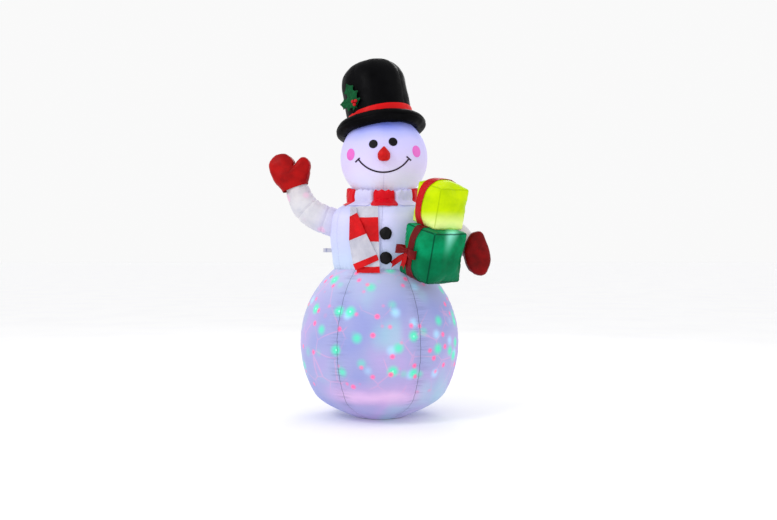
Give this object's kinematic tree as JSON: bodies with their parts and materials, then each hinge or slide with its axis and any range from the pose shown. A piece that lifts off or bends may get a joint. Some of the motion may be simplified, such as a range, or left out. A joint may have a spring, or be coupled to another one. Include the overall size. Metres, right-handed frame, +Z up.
{
  "type": "inflatable yard snowman",
  "caption": "Inflatable snowman with top hat, scarf, waving arm and stacked gift boxes, lit from inside by a turning lens light in its lower ball.",
  "frame": {"origin": "centre of the round base panel's underside, on the ground", "axes": "+Z up, the face looks along -Y, +X to the right of someone who faces it"},
  "size_m": [0.907, 0.6956, 1.4948],
  "materials": {
    "lit_cloth": "satin",
    "base_cloth": "matte",
    "red_cloth": "satin",
    "dark_red_cloth": "satin",
    "hat_cloth": "satin",
    "holly_felt": "matte",
    "berry_cloth": "satin",
    "scarf_white": "satin",
    "scarf_red": "satin",
    "button_cloth": "satin",
    "nose_cloth": "satin",
    "eye_print": "matte",
    "cheek_print": "matte",
    "mouth_print": "matte",
    "green_cloth": "satin",
    "yellow_cloth": "satin",
    "dark_ribbon": "satin",
    "bright_ribbon": "satin",
    "webbing": "matte",
    "zip_tape": "matte",
    "zip_plastic": "satin",
    "zip_metal": "satin",
    "blower_plastic": "matte",
    "grille_plastic": "satin",
    "fan_plastic": "satin",
    "steel": "satin",
    "motor_metal": "satin",
    "gland_rubber": "matte",
    "lamp_plastic": "satin",
    "board": "satin",
    "led_lens": "gloss",
    "spindle_plastic": "satin",
    "dome_clear": "gloss",
    "lead_sheath": "satin"
  },
  "bodies": {
    "figure": {"ball_shell": "lit_cloth", "base_panel": "base_cloth", "blower_clamp_ring": "blower_plastic", "blower_housing": "blower_plastic", "blower_screws": "steel", "bow_knot": "dark_ribbon", "bow_loops": "dark_ribbon", "bow_tails": "dark_ribbon", "cheeks": "cheek_print", "coal_buttons": "button_cloth", "collar_red": "scarf_red", "collar_white": "scarf_white", "cord_gland": "gland_rubber", "eyes": "eye_print", "fan_motor": "motor_metal", "gift_arm": "lit_cloth", "gift_mitten": "dark_red_cloth", "green_box_ribbon": "dark_ribbon", "green_gift_box": "green_cloth", "hat_band": "red_cloth", "hat_brim": "hat_cloth", "hat_crown": "hat_cloth", "head_light_pod": "lamp_plastic", "head_shell": "lit_cloth", "holly_berries": "berry_cloth", "holly_leaf_lower": "holly_felt", "holly_leaf_upper": "holly_felt", "intake_grille": "grille_plastic", "lamp_base": "lamp_plastic", "lamp_board": "board", "lamp_feet": "gland_rubber", "lamp_lead": "lead_sheath", "lamp_leds": "led_lens", "lamp_motor": "motor_metal", "motor_bracket": "blower_plastic", "mouth": "mouth_print", "nose": "nose_cloth", "outlet_grille": "grille_plastic", "pod_lenses": "led_lens", "riser_lead": "lead_sheath", "scarf_front_red": "scarf_red", "scarf_front_white": "scarf_white", "scarf_rear_red": "scarf_red", "scarf_rear_white": "scarf_white", "tether_loop_left": "webbing", "tether_loop_right": "webbing", "torso_light_pod": "lamp_plastic", "torso_shell": "lit_cloth", "waving_arm": "lit_cloth", "waving_mitten": "red_cloth", "yellow_box_ribbon": "bright_ribbon", "yellow_gift_box": "yellow_cloth", "zip_tape": "zip_tape", "zip_teeth": "zip_plastic"},
    "fan_rotor": {"impeller": "fan_plastic", "fan_shaft": "steel"},
    "light_dome": {"lens_dome": "dome_clear", "dome_spindle": "spindle_plastic"},
    "zip_slider": {"zip_slider": "zip_metal"},
    "zip_pull": {"zip_pull": "zip_metal"}
  },
  "joints": [
    {"name": "fan_spin", "type": "hinge", "parent": "figure", "child": "fan_rotor", "pos_m": [0, 0.29178, 0.17445], "axis": [0, 0.9397, -0.342], "continuous": true},
    {"name": "light_dome_spin", "type": "hinge", "parent": "figure", "child": "light_dome", "pos_m": [0, 0, 0.06], "axis": [0, 0, 1], "continuous": true},
    {"name": "zip_travel", "type": "hinge", "parent": "figure", "child": "zip_slider", "pos_m": [-0.05781, -0.074, 0.31], "axis": [0.788, -0.6157, 0], "range_deg": [0, 34]},
    {"name": "zip_pull_swing", "type": "hinge", "parent": "zip_slider", "child": "zip_pull", "pos_m": [0.19742, 0.25268, 0.18326], "axis": [0.788, -0.6157, 0], "range_deg": [-10, 150]}
  ]
}
